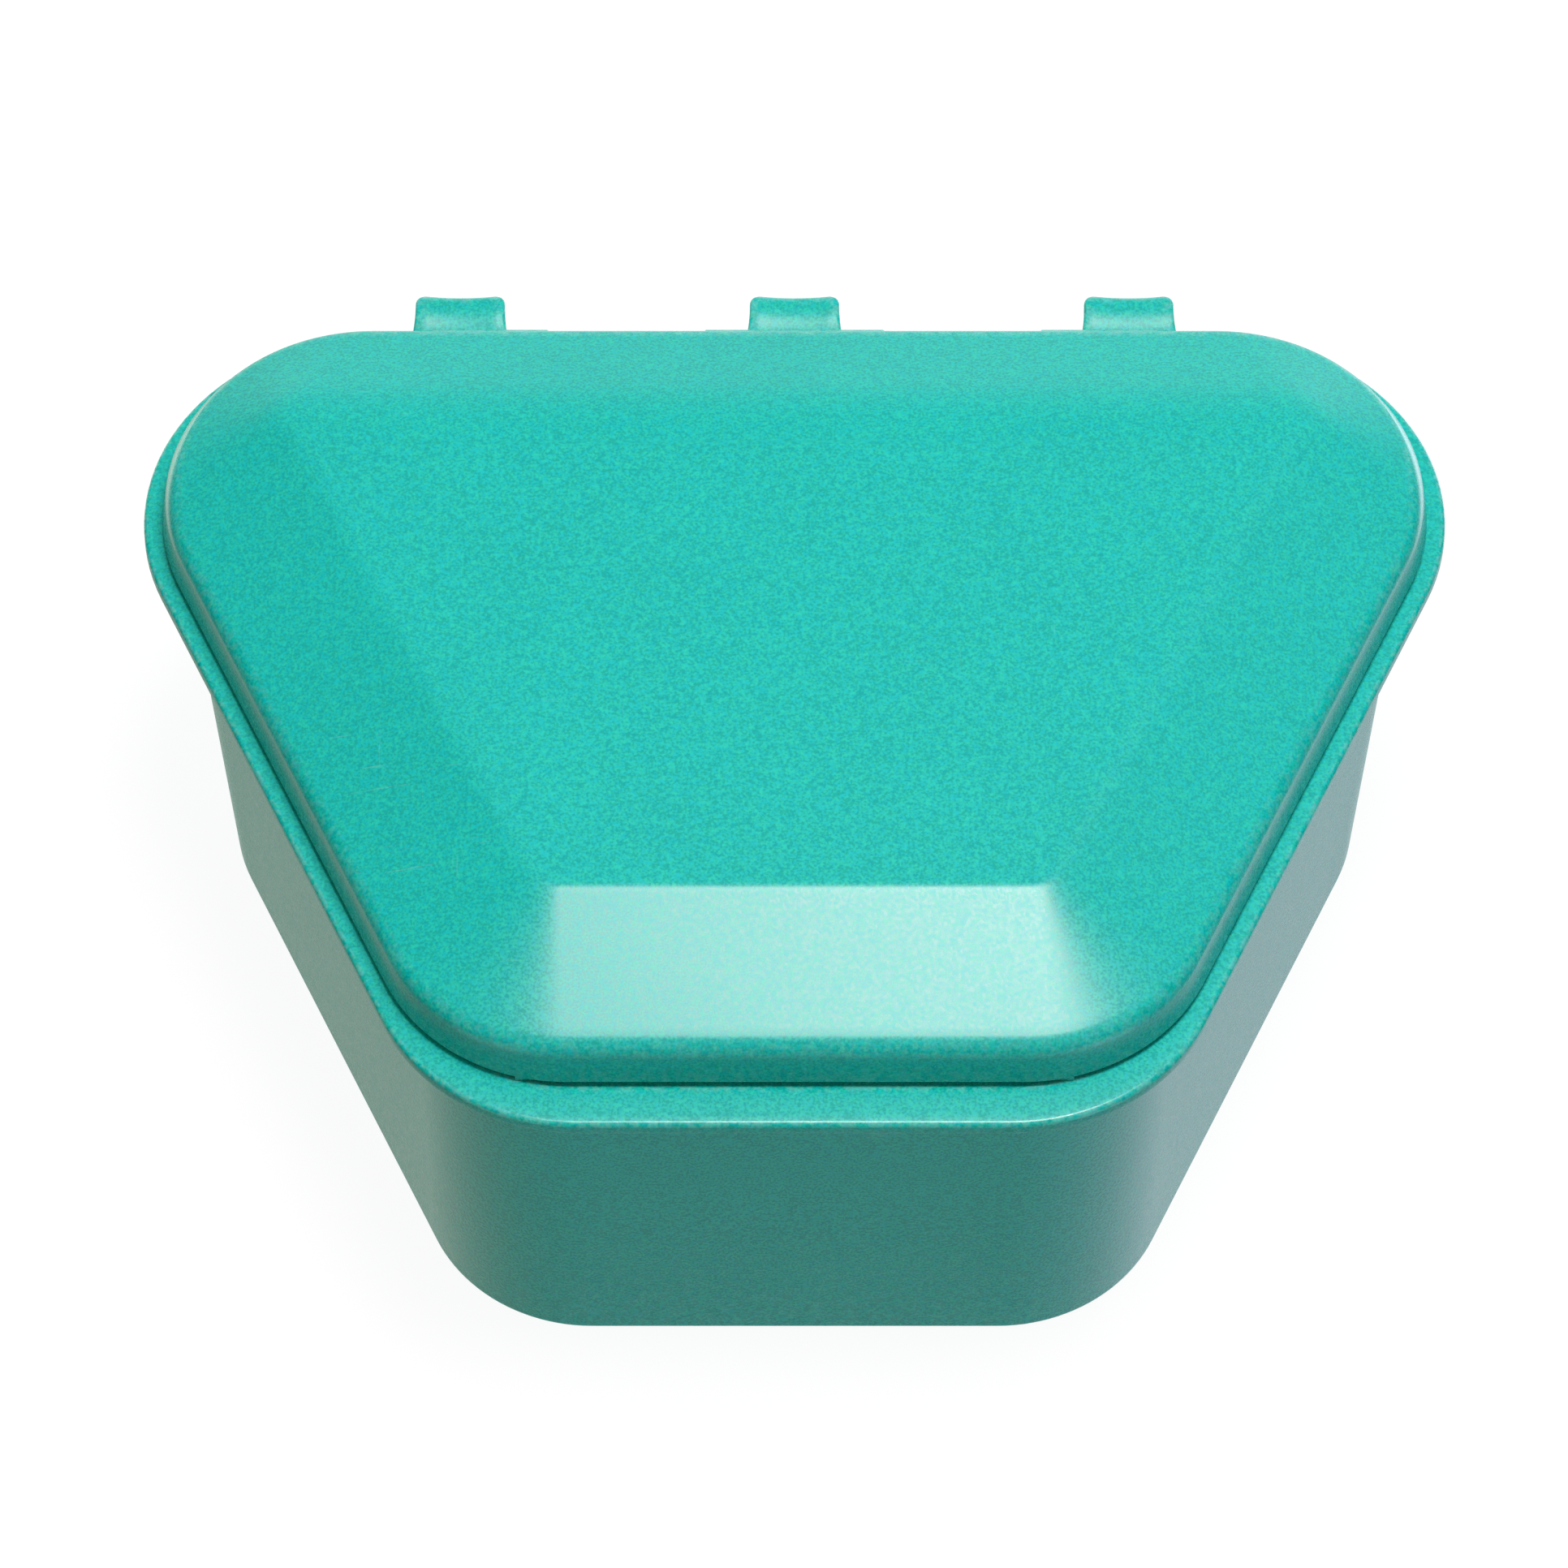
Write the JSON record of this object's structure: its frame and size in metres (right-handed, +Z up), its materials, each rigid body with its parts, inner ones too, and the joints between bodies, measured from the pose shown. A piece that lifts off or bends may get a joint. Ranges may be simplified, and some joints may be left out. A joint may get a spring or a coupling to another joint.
{
  "type": "lidded hanging feed hopper",
  "caption": "Tapered feed trough with a hipped hinged lid, a slide-in baffle and a rear feeding window, hung on cage wire by its hooks.",
  "frame": {"origin": "centre of the bounding box in plan, on the plane that the base stands on", "axes": "+Z up, -Y to the narrow front, +Y to the wide rear with the hooks, +X to the right seen from the front"},
  "size_m": [0.1918, 0.1458, 0.0833],
  "materials": {
    "teal_plastic": "satin, finely grained polypropylene",
    "zinc_wire": "drawn, zinc plated"
  },
  "bodies": {
    "trough": {"trough": "teal_plastic", "feed_baffle": "teal_plastic", "hinge_rod": "zinc_wire"},
    "lid": {"lid": "teal_plastic"}
  },
  "joints": [
    {"name": "lid_hinge", "type": "hinge", "parent": "trough", "child": "lid", "pos_m": [0, 0.0612, 0.071], "axis": [-1, 0, 0], "range_deg": [0, 110]}
  ]
}
